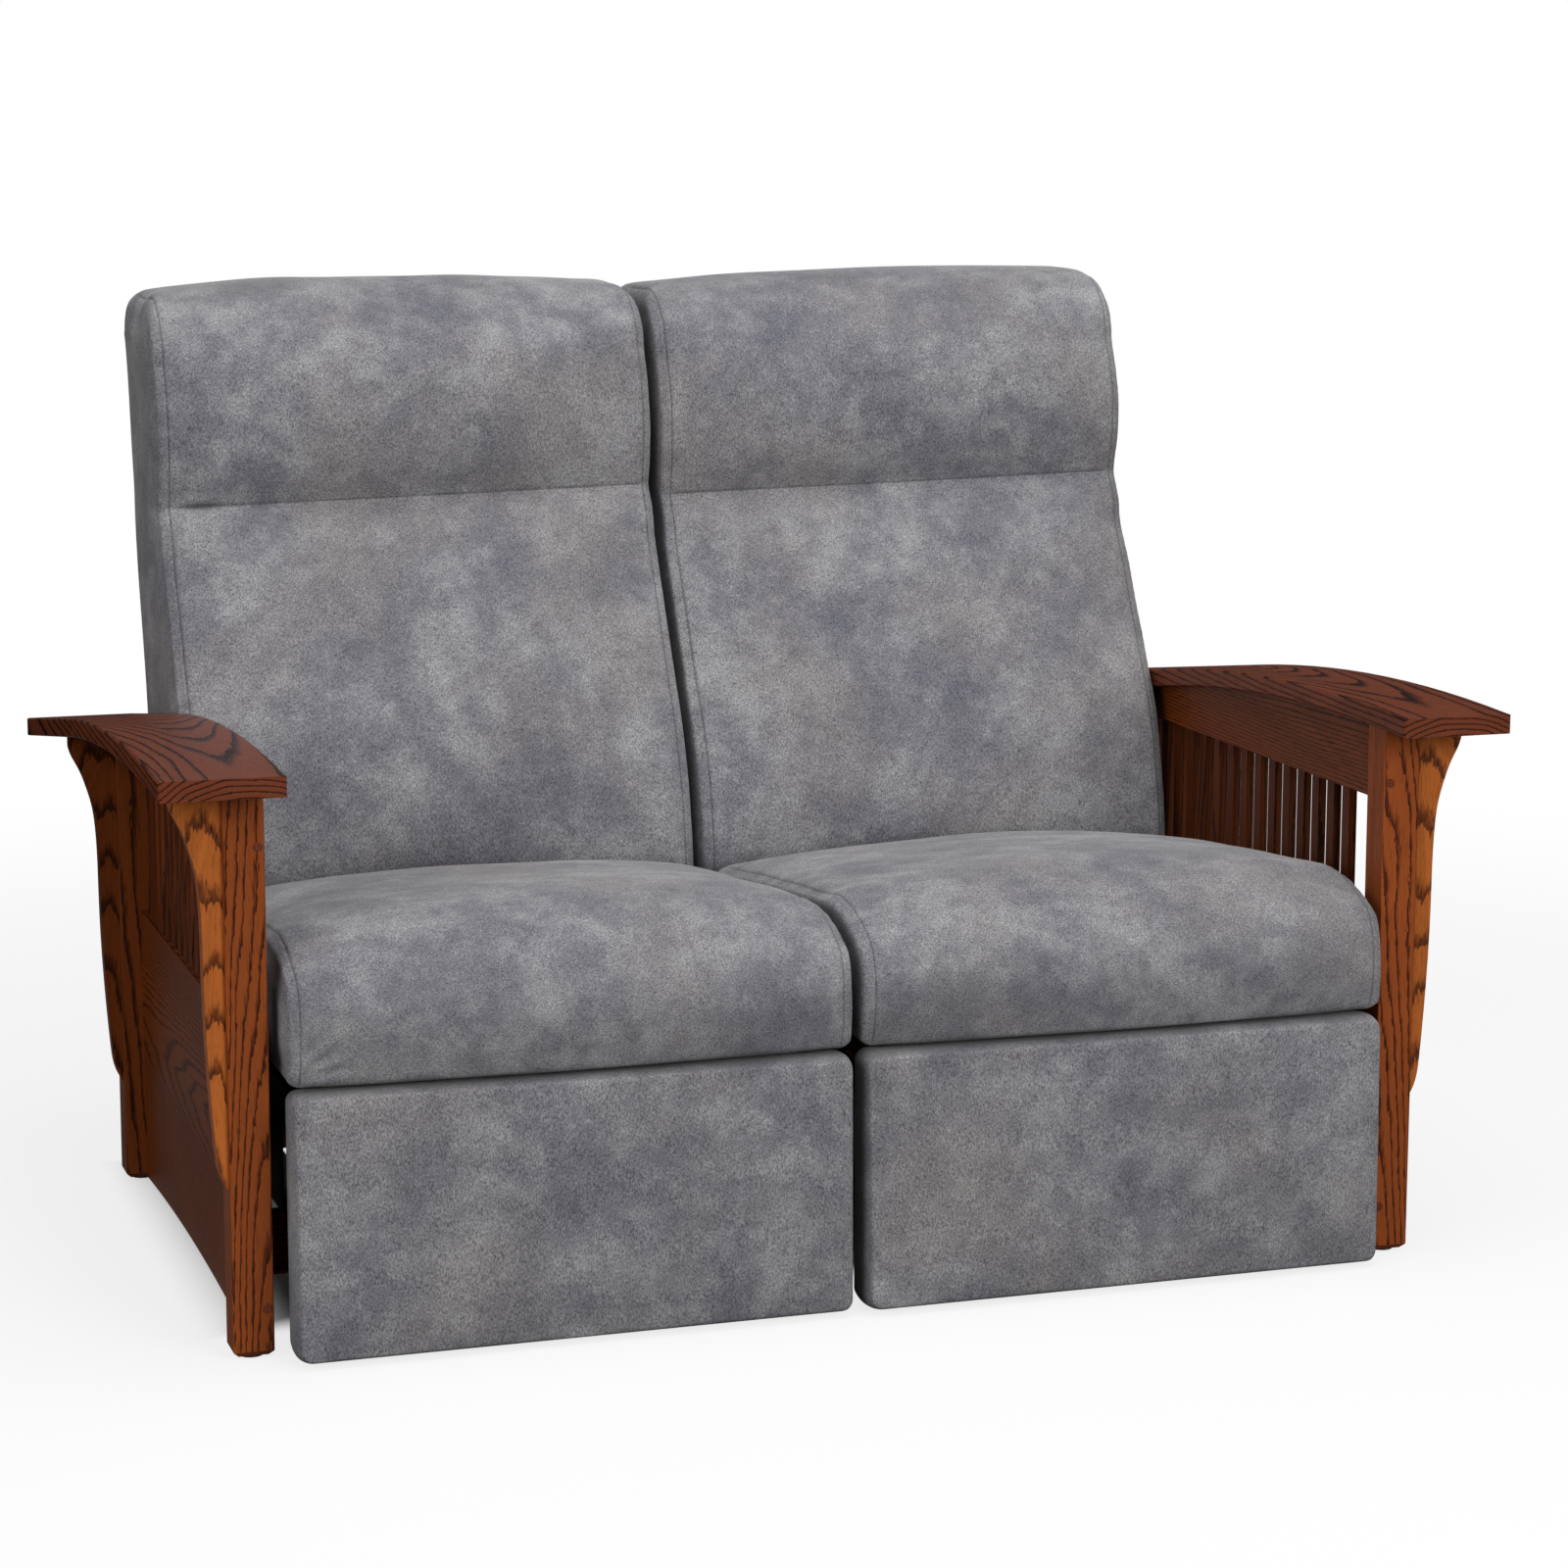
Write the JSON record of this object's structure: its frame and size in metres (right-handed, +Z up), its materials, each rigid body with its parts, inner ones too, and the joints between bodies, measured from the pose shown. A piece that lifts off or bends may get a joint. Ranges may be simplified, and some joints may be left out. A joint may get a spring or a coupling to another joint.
{
  "type": "reclining loveseat",
  "caption": "Reclining loveseat with bow arms, slatted wood sides, shaped corbels, separate cushioned seats, footrests that swing out and backs that recline.",
  "frame": {"origin": "on the floor, under the middle of the whole piece's bounding box", "axes": "+Z up, -Y to the front where a person sits facing, +X to the right of a viewer in front"},
  "size_m": [1.5336, 1.085, 1.1144],
  "materials": {
    "oak": "brown stained oak, satin lacquer",
    "suede": "mottled grey microfibre suede",
    "hardwood": "bare sawn hardwood",
    "black_steel": "black powder coat",
    "plated_steel": "black zinc plate",
    "webbing": "woven elastic webbing",
    "glide": "moulded"
  },
  "bodies": {
    "frame": {"post_plugs": "oak", "floor_glides": "glide", "front_stretcher": "oak", "rear_stretcher": "oak", "left_arm_board": "oak", "left_front_post": "oak", "left_back_post": "oak", "left_apron": "oak", "left_side_panel": "oak", "left_side_slats": "oak", "left_front_corbel": "oak", "left_back_corbel": "oak", "left_base_channels": "black_steel", "left_side_plates": "black_steel", "left_seat_frame": "hardwood", "left_seat_webbing": "webbing", "left_seat_cushion": "suede", "right_arm_board": "oak", "right_front_post": "oak", "right_back_post": "oak", "right_apron": "oak", "right_side_panel": "oak", "right_side_slats": "oak", "right_front_corbel": "oak", "right_back_corbel": "oak", "right_base_channels": "black_steel", "right_side_plates": "black_steel", "right_seat_frame": "hardwood", "right_seat_webbing": "webbing", "right_seat_cushion": "suede"},
    "left_lift": {"left_lift_links": "plated_steel", "left_torque_tube": "black_steel"},
    "left_guide": {"left_guide_links": "plated_steel"},
    "left_knee": {"left_knee_plates": "plated_steel"},
    "left_reach": {"left_reach_links": "plated_steel"},
    "left_footrest": {"left_footrest_brackets": "plated_steel", "left_footrest_board": "hardwood", "left_footrest_pad": "suede"},
    "left_back": {"left_back_brackets": "black_steel", "left_back_frame": "hardwood", "left_back_panel": "suede", "left_back_cushion": "suede"},
    "right_lift": {"right_lift_links": "plated_steel", "right_torque_tube": "black_steel"},
    "right_guide": {"right_guide_links": "plated_steel"},
    "right_knee": {"right_knee_plates": "plated_steel"},
    "right_reach": {"right_reach_links": "plated_steel"},
    "right_footrest": {"right_footrest_brackets": "plated_steel", "right_footrest_board": "hardwood", "right_footrest_pad": "suede"},
    "right_back": {"right_back_brackets": "black_steel", "right_back_frame": "hardwood", "right_back_panel": "suede", "right_back_cushion": "suede"}
  },
  "joints": [
    {"name": "left_footrest_open", "type": "hinge", "parent": "frame", "child": "left_lift", "pos_m": [-0.3185, -0.3225, 0.23], "axis": [-1, 0, 0], "range_deg": [0, 90]},
    {"name": "left_guide_swing", "type": "hinge", "parent": "frame", "child": "left_guide", "pos_m": [-0.3185, -0.3625, 0.242], "axis": [-1, 0, 0], "range_deg": [0, 90]},
    {"name": "left_knee_level", "type": "hinge", "parent": "left_lift", "child": "left_knee", "pos_m": [-0.3185, -0.37426, 0.03682], "axis": [-1, 0, 0], "range_deg": [-90, 0]},
    {"name": "left_reach_swing", "type": "hinge", "parent": "left_lift", "child": "left_reach", "pos_m": [-0.3185, -0.37426, 0.03682], "axis": [-1, 0, 0], "range_deg": [-150.5, 0]},
    {"name": "left_footrest_turn", "type": "hinge", "parent": "left_reach", "child": "left_footrest", "pos_m": [-0.3185, -0.43435, 0.20649], "axis": [-1, 0, 0], "range_deg": [0, 145.5]},
    {"name": "left_recline", "type": "hinge", "parent": "frame", "child": "left_back", "pos_m": [-0.3185, 0.1175, 0.34], "axis": [-1, 0, 0], "range_deg": [0, 36]},
    {"name": "right_footrest_open", "type": "hinge", "parent": "frame", "child": "right_lift", "pos_m": [0.3185, -0.3225, 0.23], "axis": [-1, 0, 0], "range_deg": [0, 90]},
    {"name": "right_guide_swing", "type": "hinge", "parent": "frame", "child": "right_guide", "pos_m": [0.3185, -0.3625, 0.242], "axis": [-1, 0, 0], "range_deg": [0, 90]},
    {"name": "right_knee_level", "type": "hinge", "parent": "right_lift", "child": "right_knee", "pos_m": [0.3185, -0.37426, 0.03682], "axis": [-1, 0, 0], "range_deg": [-90, 0]},
    {"name": "right_reach_swing", "type": "hinge", "parent": "right_lift", "child": "right_reach", "pos_m": [0.3185, -0.37426, 0.03682], "axis": [-1, 0, 0], "range_deg": [-150.5, 0]},
    {"name": "right_footrest_turn", "type": "hinge", "parent": "right_reach", "child": "right_footrest", "pos_m": [0.3185, -0.43435, 0.20649], "axis": [-1, 0, 0], "range_deg": [0, 145.5]},
    {"name": "right_recline", "type": "hinge", "parent": "frame", "child": "right_back", "pos_m": [0.3185, 0.1175, 0.34], "axis": [-1, 0, 0], "range_deg": [0, 36]}
  ],
  "couplings": [
    {"joint": "left_guide_swing", "follows": "left_footrest_open", "ratio": 1},
    {"joint": "left_knee_level", "follows": "left_footrest_open", "ratio": -1},
    {"joint": "left_reach_swing", "follows": "left_footrest_open", "ratio": -1.6722},
    {"joint": "left_footrest_turn", "follows": "left_footrest_open", "ratio": 1.6167},
    {"joint": "right_guide_swing", "follows": "right_footrest_open", "ratio": 1},
    {"joint": "right_knee_level", "follows": "right_footrest_open", "ratio": -1},
    {"joint": "right_reach_swing", "follows": "right_footrest_open", "ratio": -1.6722},
    {"joint": "right_footrest_turn", "follows": "right_footrest_open", "ratio": 1.6167}
  ]
}
